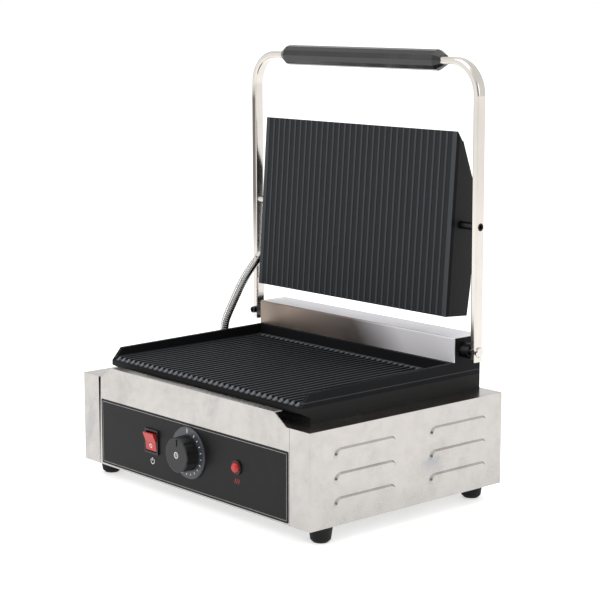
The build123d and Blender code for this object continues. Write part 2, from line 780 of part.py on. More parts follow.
with BuildPart() as dial_ring:
    with BuildSketch(front_plane(label_face)):
        with Locations((dial_x, control_z)):
            Circle(dial_radius)
            Circle(6.0, mode=Mode.SUBTRACT)
    extrude(amount=dial_thick)
    rim = dial_ring.faces().sort_by(Axis.Y)[0].outer_wire().edges()
    chamfer(rim, 1.2)
save(dial_ring.part, "dial_ring")

with BuildPart() as thermostat_knob:
    with BuildSketch(front_plane(knob_base_y)):
        with Locations((dial_x, control_z)):
            Circle(knob_radius)
    extrude(amount=knob_high, taper=3.0)
    fillet(thermostat_knob.faces().sort_by(Axis.Y)[0].edges(), 1.6)
    # shallow finger scallops round the rim
    with BuildSketch(front_plane(knob_base_y - 2.5)):
        with Locations((dial_x, control_z)):
            with PolarLocations(knob_radius + 3.4, 12, start_angle=15):
                Circle(4.6)
    extrude(amount=knob_high, mode=Mode.SUBTRACT)
    # raised pointer near the rim
    with BuildSketch(front_plane(knob_base_y - knob_high + 0.5)):
        with Locations((dial_x, control_z + knob_radius - 6.8)):
            SlotOverall(7.5, 2.4, rotation=90)
    extrude(amount=pointer_high + 0.5)
    with BuildSketch(front_plane(knob_base_y)):
        with Locations((dial_x, control_z)):
            Circle(spindle_radius)
    extrude(amount=9.0, mode=Mode.SUBTRACT)
save(thermostat_knob.part, "thermostat_knob")

thermostat_depth = 26.0
body_front = front + panel_sheet
with BuildPart() as thermostat_spindle:
    with BuildSketch(front_plane(body_front + 2.0)):
        with Locations((dial_x, control_z)):
            Circle(spindle_radius)
    extrude(amount=2.0 + body_front - knob_base_y + 9.0)
save(thermostat_spindle.part, "thermostat_spindle")

with BuildPart() as thermostat_body:
    with BuildSketch(front_plane(body_front + thermostat_depth)):
        with Locations((dial_x, control_z)):
            RectangleRounded(36, 34, 2)
    extrude(amount=thermostat_depth)
    with BuildSketch(front_plane(body_front)):
        with Locations((dial_x, control_z)):
            Circle(spindle_radius + running_gap)
    extrude(amount=-(2.0 + 0.2), mode=Mode.SUBTRACT)
save(thermostat_body.part, "thermostat_body")

with BuildPart() as switch_body:
    with BuildSketch(front_plane(label_face)):
        with Locations((switch_x, control_z)):
            RectangleRounded(switch_width, switch_tall, 1.2)
            Rectangle(switch_width - 5, switch_tall - 5, mode=Mode.SUBTRACT)
    extrude(amount=2.0)
    with BuildSketch(front_plane(label_face)):
        with Locations((switch_x, control_z)):
            Rectangle(switch_width - 3.4, switch_tall - 3.4)
    extrude(amount=-26.0)
    with BuildSketch(front_plane(label_face - 2.0)):
        with Locations((switch_x, control_z)):
            Rectangle(switch_width - 5, switch_tall - 5)
    extrude(amount=-12.0, mode=Mode.SUBTRACT)
save(switch_body.part, "switch_body")

# rocker: turns about a line behind the bezel; the top end stands out when off
rocker_width = switch_width - 5.8
rocker_pivot_y = label_face - 2.0
rocker_half = (switch_tall - 7.0) / 2
with BuildPart() as rocker:
    with BuildSketch(yz_plane(switch_x)):
        with BuildLine():
            Polyline(
                (rocker_pivot_y - 5.0, control_z + rocker_half - 0.7),
                (rocker_pivot_y - 0.7, control_z),
                (rocker_pivot_y + 0.2, control_z - rocker_half + 0.4),
                (rocker_pivot_y + 7.0, control_z - rocker_half + 3.0),
                (rocker_pivot_y + 7.0, control_z + rocker_half - 3.0),
                (rocker_pivot_y - 3.8, control_z + rocker_half),
                close=True,
            )
        make_face()
    extrude(amount=rocker_width / 2, both=True)
save(rocker.part, "rocker")

lens_radius = 5.9
with BuildPart() as lamp_body:
    with BuildSketch(front_plane(label_face)):
        with Locations((lamp_x, control_z)):
            Circle(lamp_ring_radius)
    extrude(amount=1.8)
    with BuildSketch(front_plane(label_face - 0.5)):
        with Locations((lamp_x, control_z)):
            Circle(lens_radius)
    extrude(amount=2.0, mode=Mode.SUBTRACT)
    with BuildSketch(front_plane(label_face)):
        with Locations((lamp_x, control_z)):
            Circle(5.1)
    extrude(amount=-22.0)
save(lamp_body.part, "lamp_body")

with BuildPart() as lamp_lens:
    with BuildSketch(front_plane(label_face - 0.5)):
        with Locations((lamp_x, control_z)):
            Circle(lens_radius - 0.1)
    extrude(amount=5.2)
    fillet(lamp_lens.faces().sort_by(Axis.Y)[0].edges(), 3.8)
save(lamp_lens.part, "lamp_lens")

# ---------------------------------------------------------------- wiring hardware
with BuildPart() as terminal_block:
    with BuildSketch(Plane.XY.offset(case_bottom + sheet)):
        with Locations((gland_x - 20, 90)):
            Rectangle(48, 20)
    extrude(amount=18)
    with Locations((gland_x - 20, 90, case_bottom + sheet + 18)):
        with GridLocations(12, 10, 4, 2):
            Hole(2.2, depth=9)
save(terminal_block.part, "terminal_block")

with BuildPart() as cable_gland:
    with BuildSketch(front_plane(half_depth)):
        with Locations((gland_x, gland_z)):
            RegularPolygon(14.5, 6)
    extrude(amount=-5.0)
    with BuildSketch(front_plane(half_depth + 5)):
        with Locations((gland_x, gland_z)):
            Circle(11.0)
    extrude(amount=-11.0, taper=6)
    with BuildSketch(front_plane(half_depth)):
        with Locations((gland_x, gland_z)):
            Circle(gland_radius - 0.1)
    extrude(amount=9.0)
    with BuildSketch(front_plane(half_depth - 1 - 4.5)):
        with Locations((gland_x, gland_z)):
            RegularPolygon(13.5, 6)
    extrude(amount=-4.5)
    with BuildSketch(front_plane(half_depth - 12)):
        with Locations((gland_x, gland_z)):
            Circle(4.2)
    extrude(amount=-30.0, mode=Mode.SUBTRACT)
save(cable_gland.part, "cable_gland")

# ---------------------------------------------------------------- metal conduit to the upper plate
nut_high = 6.0
nut_neck = 12.0             # the nut's threaded neck hangs through the cover
elbow_out = 13.0            # how far the elbow stands out from the plate's side
elbow_run = 14.0
with BuildPart() as conduit_base_nut:
    with BuildSketch(Plane.XY.offset(case_top)):
        with Locations((hose_foot.X, hose_foot.Y)):
            RegularPolygon(9.5, 6)
    extrude(amount=nut_high)
    with BuildSketch(Plane.XY.offset(case_top - nut_neck)):
        with Locations((hose_foot.X, hose_foot.Y)):
            Circle(hose_hole_radius - 0.1)
    extrude(amount=nut_neck)
save(conduit_base_nut.part, "conduit_base_nut")

# elbow fitting: out of the plate's side, then down the line of the hose
elbow_corner = conduit_exit - Vector(upper_half + elbow_out, 0, 0)
hose_shoulder = elbow_corner + Vector(-2.5, -27.94, -24.75)
hose_run = (hose_shoulder - elbow_corner).normalized()
elbow_end = elbow_corner + hose_run * elbow_run
with BuildPart() as conduit_elbow:
    gland_plane = Plane(origin=conduit_exit + Vector(-upper_half, 0, 0), x_dir=face_up, z_dir=(-1, 0, 0))
    with BuildSketch(gland_plane):
        RegularPolygon(6.4, 6)
    extrude(amount=4.0)
    with BuildSketch(gland_plane):
        Circle(4.9)
    extrude(amount=-skirt)
    with BuildLine() as elbow_path:
        FilletPolyline(conduit_exit + Vector(-upper_half - 3, 0, 0), elbow_corner, elbow_end, radius=8.5)
    with BuildSketch(Plane(origin=elbow_path.line @ 0, z_dir=elbow_path.line % 0)):
        Circle(hose_radius)
    sweep(path=elbow_path.line)
    with BuildSketch(Plane(origin=elbow_end, x_dir=(1, 0, 0), z_dir=hose_run * -1)):
        Circle(hose_radius + 1.2)
    extrude(amount=5.0)
save(conduit_elbow.part, "conduit_elbow")

hose_points = [
    hose_foot + Vector(0, 0, nut_high),
    hose_foot + Vector(0, 0, 34.0),
    hose_foot + Vector(3.5, 8.8, 56.6),
    hose_shoulder,
    elbow_end,
]
hose_radii = []
for before, corner, after in zip(hose_points, hose_points[1:], hose_points[2:]):
    run_in = corner - before
    run_out = after - corner
    half_turn = radians(run_in.get_angle(run_out)) / 2
    hose_radii.append(0.45 * min(run_in.length, run_out.length) / tan(half_turn))
print("conduit bend radii", [round(r, 1) for r in hose_radii])

with BuildPart() as power_conduit:
    with BuildLine() as hose_path:
        FilletPolyline(*hose_points, radius=hose_radii)
    with BuildSketch(Plane(origin=hose_path.line @ 0, z_dir=hose_path.line % 0)):
        Circle(hose_radius)
    sweep(path=hose_path.line)
save(power_conduit.part, "power_conduit")
hose_length = sum(edge.length for edge in hose_path.edges())
print("conduit length", round(hose_length, 1),
      "volume ratio", round(power_conduit.part.volume / (hose_length * pi * hose_radius ** 2), 4))
print("hinge axis", shaft_y, round(shaft_z, 3), "pivot", round(pivot_y, 3), round(pivot_z, 3))
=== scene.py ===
"""Looks for the contact grill: finishes, printed marks, the ribbed conduit, floor, lights and camera."""
from math import cos, pi, radians, sin, tau

import bpy
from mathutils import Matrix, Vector


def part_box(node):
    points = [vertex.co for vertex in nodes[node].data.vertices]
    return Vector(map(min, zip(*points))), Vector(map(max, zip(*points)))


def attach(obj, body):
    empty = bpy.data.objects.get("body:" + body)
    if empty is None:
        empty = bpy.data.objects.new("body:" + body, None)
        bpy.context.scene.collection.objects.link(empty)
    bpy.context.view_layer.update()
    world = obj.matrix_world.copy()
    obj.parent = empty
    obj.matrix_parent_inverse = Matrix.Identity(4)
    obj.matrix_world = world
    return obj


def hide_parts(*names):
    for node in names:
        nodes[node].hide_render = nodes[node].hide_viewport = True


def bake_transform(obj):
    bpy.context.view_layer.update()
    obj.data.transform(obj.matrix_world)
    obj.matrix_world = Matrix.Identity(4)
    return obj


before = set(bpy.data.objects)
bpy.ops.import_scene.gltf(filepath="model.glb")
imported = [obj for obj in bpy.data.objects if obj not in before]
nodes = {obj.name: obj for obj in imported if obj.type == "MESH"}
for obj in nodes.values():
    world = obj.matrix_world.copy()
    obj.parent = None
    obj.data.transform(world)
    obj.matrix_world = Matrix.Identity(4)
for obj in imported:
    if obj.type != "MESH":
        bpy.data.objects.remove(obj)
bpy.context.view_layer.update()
MM = 0.001


# ---------------------------------------------------------------- camera
def place_camera(point, tilt, turn, lens):
    """A camera at a point, looking down by tilt and turned left by turn, in degrees."""
    data = bpy.data.cameras.new("studio_camera")
    data.sensor_width = 36.0
    data.lens = lens
    data.clip_end = 1000.0
    camera = bpy.data.objects.new("studio_camera", data)
    camera.location = point
    camera.rotation_euler = (radians(90.0 - tilt), 0.0, radians(turn))
    bpy.context.scene.collection.objects.link(camera)
    bpy.context.scene.camera = camera


place_camera((1.5305, -1.3340, 0.5687), tilt=9.672, turn=48.506, lens=105.95)


# ---------------------------------------------------------------- node writing
class Wire:
    """An output socket that arithmetic can be written on; each operator adds its Math node."""

    def __init__(self, finish, socket):
        self.finish = finish
        self.socket = socket

    def math(self, operation, *values, clamp=False):
        return self.finish.node("ShaderNodeMath", {"operation": operation, "use_clamp": clamp},
                                dict(enumerate(values)))

    def __add__(self, other):
        return self.math("ADD", self, other)

    def __sub__(self, other):
        return self.math("SUBTRACT", self, other)

    def __mul__(self, other):
        return self.math("MULTIPLY", self, other)

    def __pow__(self, other):
        return self.math("POWER", self, other)

    def __rsub__(self, other):
        return self.math("SUBTRACT", other, self)

    __radd__ = __add__

    def clamped(self):
        """The value held between 0 and 1."""
        return self.math("ADD", self, 0.0, clamp=True)

    def between(self, low, high):
        """0 below low, 1 above high, straight in between."""
        return self.finish.node("ShaderNodeMapRange", {"clamp": True},
                                {"Value": self, "From Min": low, "From Max": high})


class Finish:
    """One material: a Principled shader whose varying inputs are written as expressions."""

    def __init__(self, name, **constants):
        self.material = bpy.data.materials.new(name)
        self.material.use_nodes = True
        self.tree = self.material.node_tree
        self.shader = self.tree.nodes["Principled BSDF"]
        for socket, value in constants.items():
            self.shader.inputs[socket.replace("_", " ")].default_value = value

    def node(self, kind, settings=None, sockets=None, output=0):
        """Adds a node: settings first, then the values or links of its sockets."""
        made = self.tree.nodes.new(kind)
        for key, value in (settings or {}).items():
            setattr(made, key, value)
        for key, value in (sockets or {}).items():
            self.feed(made.inputs[key], value)
        return Wire(self, made.outputs[output])

    def feed(self, socket, value):
        if isinstance(value, Wire):
            self.tree.links.new(value.socket, socket)
        else:
            socket.default_value = value

    def place(self, stretch=(1.0, 1.0, 1.0)):
        """Object coordinates in metres, stretched along the axes."""
        where = self.node("ShaderNodeTexCoord", output="Object")
        return self.node("ShaderNodeVectorMath", {"operation": "MULTIPLY"}, {0: where, 1: stretch})

    def noise(self, scale, stretch=(1.0, 1.0, 1.0), detail=4.0, roughness=0.55, distortion=0.0):
        """Noise from 0 to 1; scale is in features per metre."""
        return self.node("ShaderNodeTexNoise", None,
                         {"Vector": self.place(stretch), "Scale": scale, "Detail": detail,
                          "Roughness": roughness, "Distortion": distortion})

    def mix(self, factor, first, second):
        """Colour between first and second."""
        return self.node("ShaderNodeMix", {"data_type": "RGBA"},
                         {"Factor": factor, 6: (*first, 1.0) if isinstance(first, tuple) else first,
                          7: (*second, 1.0) if isinstance(second, tuple) else second}, output=2)

    def along(self, axis):
        """How far the point lies along an axis (0, 1 or 2 for X, Y or Z), in metres."""
        return self.node("ShaderNodeSeparateXYZ", None, {0: self.place()}, output=axis)

    def facing(self, direction):
        """1 where the surface faces a direction of its own piece, -1 where it faces away."""
        normal = self.node("ShaderNodeTexCoord", output="Normal")
        return self.node("ShaderNodeVectorMath", {"operation": "DOT_PRODUCT"},
                         {0: normal, 1: direction}, output="Value")

    def edges(self, radius):
        """1 where the surface turns sharply within radius, 0 on its flats."""
        bevel = self.node("ShaderNodeBevel", {"samples": 4}, {"Radius": radius})
        true_normal = self.node("ShaderNodeNewGeometry", output="Normal")
        alike = self.node("ShaderNodeVectorMath", {"operation": "DOT_PRODUCT"},
                          {0: bevel, 1: true_normal}, output="Value")
        return 1.0 - alike

    def set(self, socket, value):
        self.feed(self.shader.inputs[socket], value)

    def bump(self, height, distance, strength=1.0):
        """Raises the surface by height times distance, in metres."""
        self.set("Normal", self.node("ShaderNodeBump", None,
                                     {"Height": height, "Distance": distance, "Strength": strength}))

    def on(self, *names):
        """Gives this finish to CAD nodes."""
        for name in names:
            dress(nodes[name], self)
        return self


def dress(obj, finish):
    obj.data.materials.clear()
    obj.data.materials.append(finish.material)


# ---------------------------------------------------------------- finishes
def satin_steel(name, brush, tone=(0.445, 0.425, 0.405), shine=0.15):
    """Fine-brushed stainless sheet with faint smears; brush stretches the grain.

    With no tone, the colour is left to the caller.
    """
    finish = Finish(name, Metallic=1.0)
    smear = finish.noise(11.0, detail=5.0, distortion=0.8).between(0.48, 0.72)
    cloud = finish.noise(60.0, detail=4.0, roughness=0.7).between(0.42, 0.8)
    grain = finish.noise(900.0, stretch=brush, detail=3.0, roughness=0.6)
    if tone:
        blotch = finish.noise(9.0, detail=6.0, roughness=0.6, distortion=1.5).between(0.60, 0.74)
        stained = finish.mix(smear * 0.45 + cloud * 0.55, tone, tuple(0.8 * c for c in tone))
        bluish = (0.62 * tone[0], 0.68 * tone[1], 0.78 * tone[2])
        finish.set("Base Color", finish.mix(blotch * 0.55, stained, bluish))
    finish.set("Roughness", shine + smear * 0.08 + cloud * 0.08 + grain * 0.10)
    finish.bump(grain, 0.00003, 0.4)
    return finish


def polished_steel(name, tone=(0.60, 0.565, 0.525)):
    """Mirror-polished bar and sheet, with hairline wiping marks."""
    finish = Finish(name, Metallic=1.0)
    wipe = finish.noise(700.0, stretch=(1.0, 1.0, 0.06), detail=4.0)
    haze = finish.noise(14.0, detail=4.0).between(0.35, 0.75)
    buffed = finish.mix(haze, tone, tuple(0.9 * c for c in tone))
    # painted dark bands where a left side rounds off; they imitate a reflection
    leftward = finish.facing((-1.0, 0.0, 0.0))
    rounding = leftward.between(0.15, 0.45) * (1.0 - leftward.between(0.96, 0.995)) * 0.85
    outlined = finish.mix(rounding, buffed, tuple(0.06 * c for c in tone))
    # a painted brown tint on the front of the left arm above the plate's pivot; it imitates a reflection
    height = finish.along(2) + finish.noise(30.0) * 0.02
    left_arm = 1.0 - finish.along(0).between(-0.17, -0.16)
    brown_reflection = finish.facing((0.0, -1.0, 0.0)).between(0.75, 0.92) * left_arm
    brown_reflection = brown_reflection * height.between(0.255, 0.33) * (1.0 - height.between(0.455, 0.475))
    finish.set("Base Color", finish.mix(brown_reflection * 0.9, outlined, (0.09, 0.072, 0.062)))
    finish.set("Roughness", 0.12 + haze * 0.08 + wipe * 0.05)
    finish.bump(wipe, 0.00001, 0.25)
    return finish


tray_half = 0.166
rib_pitch = 2 * tray_half / 36
rear_slope_length = 0.0088
soft_edge = 0.0004


def cast_iron(name, tone, wear_and_highlight, shine, crest=None, outside=None, ends=None):
    """Black enamelled casting with a sand-cast grain.

    crest gives (point, direction) of the ribs' tips; outside is the tone of the walls beyond the ribs;
    ends gives the Y where the ribs' front bevels stop and where their rear slopes start.
    """
    finish = Finish(name, Metallic=0.0, Specular_IOR_Level=0.07)
    grain = finish.noise(1500.0, detail=3.0, roughness=0.65)
    lumps = finish.noise(240.0, detail=3.0)
    rubbed = (finish.edges(0.0006) * 5.0).clamped() * finish.noise(80.0).between(0.3, 0.7)
    paler = rubbed * 0.35 + lumps * 0.08
    if crest:
        point, direction = crest
        depth = finish.node("ShaderNodeVectorMath", {"operation": "DOT_PRODUCT"},
                            {0: finish.place(), 1: direction}, output="Value")
        tip = sum(a * b for a, b in zip(point, direction))
        # the ribs' tips are painted paler: partly wear, partly a painted highlight where light catches them
        rising = depth.between(tip - 0.0014, tip - 0.0001) ** 3.0
        near_tip = rising * (1.0 - depth.between(tip + 0.0003, tip + 0.0006))
        paler = (paler + near_tip * (0.6 + grain * 0.4)).clamped()
        if ends:
            # the ribs' front bevels and rear slopes get a tone 2.2 times lighter and are painted paler: a
            # painted highlight where light catches them
            across = finish.along(0)
            inside = 1.0 - (across * across).between(tray_half ** 2 - 0.0001, tray_half ** 2)
            turn = across * (tau / rib_pitch)
            in_groove = turn.math("COSINE", turn).between(-0.1, 0.5)
            front_slope = 1.0 - finish.along(1).between(ends[0] - soft_edge, ends[0])
            rear_slope = finish.along(1).between(ends[1], ends[1] + soft_edge) * in_groove * 0.8
            ledge_y = ends[1] + rear_slope_length
            rear_slope = rear_slope * (1.0 - finish.along(1).between(ledge_y, ledge_y + soft_edge))
            sloping = (front_slope + rear_slope) * inside
            below_tip = 1.0 - depth.between(tip, tip + soft_edge)
            on_rib = depth.between(tip - 0.0042, tip - 0.0030) * below_tip
            wear_and_highlight = finish.mix(sloping * on_rib, wear_and_highlight, tuple(2.2 * c for c in wear_and_highlight))
            paler = (paler + sloping * on_rib * (0.7 + grain * 0.4)).clamped()
        tone = finish.mix(depth.between(tip - 0.0062, tip - 0.0048), outside, tone)
    # the paler parts get the lighter tone: wear on rubbed edges, and a painted highlight on the ribs' tips
    # and slopes
    finish.set("Base Color", finish.mix(paler, tone, wear_and_highlight))
    finish.set("Roughness", shine + grain * 0.16 + lumps * 0.08 - rubbed * 0.1)
    finish.bump(grain * 0.6 + lumps, 0.00012, 0.5)
    return finish


def moulded(name, tone, shine, grain_size=1400.0, depth=0.00003, **constants):
    """Moulded plastic or rubber with a fine surface grain and a few dull patches."""
    finish = Finish(name, **constants)
    grain = finish.noise(grain_size, detail=2.0)
    patch = finish.noise(45.0, detail=4.0).between(0.35, 0.7)
    finish.set("Base Color", finish.mix(patch * 0.35, tone, tuple(min(1.0, 1.5 * c + 0.008) for c in tone)))
    finish.set("Roughness", shine + patch * 0.08 + grain * 0.08)
    finish.bump(grain, depth, 0.5)
    return finish


def plated(name, tone=(0.66, 0.65, 0.63), shine=0.2):
    """Bright-plated hardware with slight turning marks and grime.

    With no tone, the colour is left to the caller.
    """
    finish = Finish(name, Metallic=1.0)
    turned = finish.noise(1200.0, stretch=(0.2, 1.0, 1.0), detail=2.0)
    grime = finish.noise(120.0, detail=4.0).between(0.45, 0.8)
    if tone:
        finish.set("Base Color", finish.mix(grime * 0.6, tone, tuple(0.6 * c for c in tone)))
    finish.set("Roughness", shine + grime * 0.15 + turned * 0.05)
    finish.bump(turned, 0.00001, 0.3)
    return finish


along_x = (0.03, 1.0, 1.0)
along_y = (1.0, 0.03, 1.0)
satin_steel("cover_steel", along_y).on("left_side_cover", "right_side_cover")
satin_steel("panel_steel", along_x).on("front_panel", "rear_panel", "deck")
sheet_steel = satin_steel("sheet_steel", along_x, (0.4, 0.4, 0.4))
sheet_steel.on("bottom_plate", "spring_seats", "lower_clamp_plate", "upper_clamp_plate")
polished_steel("mirror_steel").on("handle_frame", "hinge_shaft")
cover_polish = satin_steel("cover_polish", along_x, None, 0.3).on("hinge_cover")
# a painted brown tint on the left of the hinge cover's upright face; it imitates a reflection
tint_edge = cover_polish.along(0) + cover_polish.along(2) * 0.8 + cover_polish.noise(20.0) * 0.02
upright_face = 1.0 - cover_polish.along(1).between(0.1037, 0.1055)
brown_reflection = (1.0 - tint_edge.between(0.155, 0.235)) * upright_face
rightward = cover_polish.along(0).between(-0.12, 0.04)
brown_tone = cover_polish.mix(rightward, (0.27, 0.215, 0.18), (0.13, 0.115, 0.11))
cover_polish.set("Base Color", cover_polish.mix(brown_reflection, (0.74, 0.725, 0.75), brown_tone))
cover_polish.set("Metallic", 0.35 + brown_reflection * 0.6)
iron_black = (0.0030, 0.0032, 0.0038)
iron_oiled = (0.0056, 0.0058, 0.0066)
# lighter iron tone: wear on rubbed edges, and a painted highlight on the ribs' tips and slopes
iron_wear_and_highlight = (0.056, 0.060, 0.066)
iron_outside = (0.018, 0.0175, 0.017)
upper_lean = radians(4.0)
face_out = (0.0, -cos(upper_lean), sin(upper_lean))
face_point = (0.0, 0.102088, 0.317880)
rib_tip_height = 0.1474
front_bevel_y = -0.1240
rear_slope_y = 0.0905
cast_iron("lower_iron", iron_oiled, iron_wear_and_highlight, 0.42,
          crest=((0.0, 0.0, rib_tip_height), (0.0, 0.0, 1.0)), outside=iron_outside,
          ends=(front_bevel_y, rear_slope_y)).on("lower_plate")
cast_iron("upper_iron", iron_black, iron_wear_and_highlight, 0.42,
          crest=(face_point, face_out), outside=iron_outside).on("upper_plate")
cast_iron("black_enamel", (0.014, 0.0135, 0.013), (0.05, 0.048, 0.046), 0.4).on("upper_lid")
label_film = moulded("label_film", (0.0045, 0.0043, 0.005), 0.3, 2500.0, 0.00001, Specular_IOR_Level=0.14)
label_film.on("control_label")
moulded("foot_rubber", (0.007, 0.007, 0.007), 0.6, Specular_IOR_Level=0.2).on("rubber_feet")
knob_black = moulded("knob_black", (0.006, 0.006, 0.0065), 0.33, Specular_IOR_Level=0.35)
knob_black.on("thermostat_knob", "switch_body", "lamp_body", "cable_gland")
moulded("grip_black", (0.006, 0.006, 0.0065), 0.16).on("handle_grip")
moulded("dial_grey", (0.028, 0.032, 0.039), 0.28).on("dial_ring")
bright_plate = plated("bright_plate")
bright_plate.on("conduit_base_nut", "conduit_elbow", "foot_screws", "spring_collars", "thermostat_spindle")
plated("black_oxide", (0.03, 0.03, 0.03), 0.35).on("arm_clamp_screws", "shaft_spacers")
# the left pivot pin is bright, the right one near black
pin_steel = plated("pin_steel", None, 0.35).on("pivot_pins")
right_side = pin_steel.along(0).between(-0.01, 0.01)
pin_grime = pin_steel.noise(150.0, detail=4.0) * 0.4
pin_tone = pin_steel.mix(pin_grime, (0.62, 0.60, 0.57), (0.35, 0.34, 0.33))
pin_steel.set("Base Color", pin_steel.mix(right_side, pin_tone, (0.03, 0.03, 0.03)))
plated("bush_brass", (0.7, 0.5, 0.25), 0.25).on("shaft_bushes")
dull_steel = plated("dull_steel", (0.32, 0.32, 0.32), 0.4)
dull_steel.on("torsion_springs", "lower_heating_element", "upper_heating_element", "thermostat_body")
moulded("mineral_wool", (0.6, 0.56, 0.45), 0.9, 500.0, 0.0006).on("lower_insulation", "upper_insulation")
moulded("porcelain", (0.75, 0.74, 0.7), 0.3).on("terminal_block")
# the rocker and the lamp lens give a weak red glow: a painted glow, not a lit lamp
switch_red = moulded("switch_red", (0.34, 0.006, 0.007), 0.14, Emission_Color=(1.0, 0.03, 0.01, 1.0),
                     Emission_Strength=0.06)
switch_red.on("rocker", "lamp_lens")
print_white = moulded("print_white", (0.75, 0.75, 0.75), 0.4)
print_silver = plated("print_silver", (0.3, 0.3, 0.3), 0.3)
print_red = moulded("print_red", (0.35, 0.012, 0.012), 0.4)


# ---------------------------------------------------------------- mesh pieces
def new_piece(name, points, faces, finish, body, smooth=False):
    """A mesh piece in the shared frame; it rides on a body if one is given."""
    mesh = bpy.data.meshes.new(name)
    mesh.from_pydata(points, [], faces)
    mesh.update()
    if smooth:
        mesh.shade_smooth()
    obj = bpy.data.objects.new(name, mesh)
    bpy.context.scene.collection.objects.link(obj)
    dress(obj, finish)
    if body:
        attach(obj, body)
    return obj


def printed(name, outlines, surface, depth, finish, body):
    """Raised print facing the user: closed outlines of (x, z) in mm, standing depth out of surface(z)."""
    points, faces = [], []
    for outline in outlines:
        first = len(points)
        count = len(outline)
        for rise in (0.0, depth):
            points += [(x * MM, (surface(z) - rise) * MM, z * MM) for x, z in outline]
        near = [first + count + i for i in range(count)]
        faces.append(near)
        faces.append([first + i for i in reversed(range(count))])
        for i in range(count):
            j = (i + 1) % count
            faces.append((first + i, first + j, near[j], near[i]))
    return new_piece(name, points, faces, finish, body)


def flat(y):
    """A print surface that is upright at y."""
    return lambda z: y


def bar(x, z, length, width, angle):
    """A narrow rectangle centred on (x, z), its length turned clockwise from upright by angle degrees."""
    along = Vector((sin(radians(angle)), cos(radians(angle)))) * length / 2
    across = Vector((along.y, -along.x)).normalized() * width / 2
    corners = (along - across, along + across, across - along, -along - across)
    return [(x + c.x, z + c.y) for c in corners]


def ring_segments(x, z, radius, width, start=0.0, end=360.0, steps=32):
    """Short straight pieces that follow an arc, angles clockwise from the top."""
    step = (end - start) / steps
    length = 2 * radius * sin(radians(abs(step)) / 2) * 1.04
    pieces = []
    for i in range(steps):
        angle = start + (i + 0.5) * step
        pieces.append(bar(x + radius * sin(radians(angle)), z + radius * cos(radians(angle)),
                          length, width, angle + 90.0))
    return pieces


label_low, label_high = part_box("control_label")
label_y = label_low[1] / MM
border_inset = 2.6
border_width = 0.5
print_depth = 0.06
left = label_low[0] / MM + border_inset
right = label_high[0] / MM - border_inset
bottom = label_low[2] / MM + border_inset
top = label_high[2] / MM - border_inset
printed("label_border", [
    bar((left + right) / 2, bottom, right - left, border_width, 90.0),
    bar((left + right) / 2, top, right - left, border_width, 90.0),
    bar(left, (bottom + top) / 2, top - bottom, border_width, 0.0),
    bar(right, (bottom + top) / 2, top - bottom, border_width, 0.0),
], flat(label_y), print_depth, print_silver, "base")

dial_low, dial_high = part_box("dial_ring")
dial_x = (dial_low[0] + dial_high[0]) / 2 / MM
dial_z = (dial_low[2] + dial_high[2]) / 2 / MM
dial_y = dial_low[1] / MM
tick_radius = 24.6
ticks = [bar(dial_x, dial_z + tick_radius + 1.0, 5.0, 1.0, 0.0)]
for i in range(16):
    turn = 30.0 + i * 17.0
    long_tick = i % 5 == 0
    ticks.append(bar(dial_x + tick_radius * sin(radians(turn)), dial_z + tick_radius * cos(radians(turn)),
                     3.4 if long_tick else 2.2, 0.8, turn))
printed("dial_ticks", ticks, flat(dial_y), print_depth, print_white, "base")

switch_low, switch_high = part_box("switch_body")
switch_x = (switch_low[0] + switch_high[0]) / 2 / MM
power_mark_z = switch_low[2] / MM - 9.0
power_mark = ring_segments(switch_x, power_mark_z, 3.2, 0.8, 35.0, 325.0, 20)
power_mark.append(bar(switch_x, power_mark_z + 2.4, 4.0, 0.8, 0.0))
printed("power_mark", power_mark, flat(label_y), print_depth, print_white, "base")
lamp_low, lamp_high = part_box("lamp_body")
lamp_x = (lamp_low[0] + lamp_high[0]) / 2 / MM
heat_mark_z = lamp_low[2] / MM - 8.0
heat_mark = []
for offset in (-3.2, 0.0, 3.2):
    heat_mark += ring_segments(lamp_x + offset - 1.2, heat_mark_z + 1.5, 1.9, 0.9, 45.0, 135.0, 6)
    heat_mark += ring_segments(lamp_x + offset + 1.5, heat_mark_z - 1.2, 1.9, 0.9, 225.0, 315.0, 6)
printed("heat_mark", heat_mark, flat(label_y), print_depth, print_red, "base")

pointer_high = 0.9
knob_face_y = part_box("thermostat_knob")[0][1] / MM + pointer_high

rocker_low, rocker_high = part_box("rocker")
rocker_x = (rocker_low[0] + rocker_high[0]) / 2 / MM
rocker_z = (rocker_low[2] + rocker_high[2]) / 2 / MM
rocker_rise = 4.3
rocker_crease_y = rocker_low[1] / MM + rocker_rise
upper_slope = rocker_rise / 10.3
lower_slope = 0.9 / 10.6


def rocker_face(z):
    """The rocker's front at height z: two flats that meet in a shallow crease."""
    rise = z - rocker_z
    return rocker_crease_y - (upper_slope * rise if rise > 0 else lower_slope * rise)


printed("rocker_marks", [bar(rocker_x, rocker_z + 5.0, 4.6, 0.9, 0.0)]
        + ring_segments(rocker_x, rocker_z - 5.2, 2.0, 0.8, steps=20), rocker_face, print_depth,
        print_white, "rocker")
printed("knob_mark", ring_segments(dial_x, dial_z, 3.2, 0.8, steps=24) + [bar(dial_x, dial_z, 3.0, 0.9, 0.0)],
        flat(knob_face_y), print_depth, print_white, "knob")


# ---------------------------------------------------------------- ribbed conduit
hose_route = [
    (-188.0, 56.0, 131.0),
    (-188.0, 56.0, 159.0),
    (-184.5, 64.8, 181.6),
    (-179.5, 88.0, 226.0),
    (-177.94, 105.46, 241.46),
]


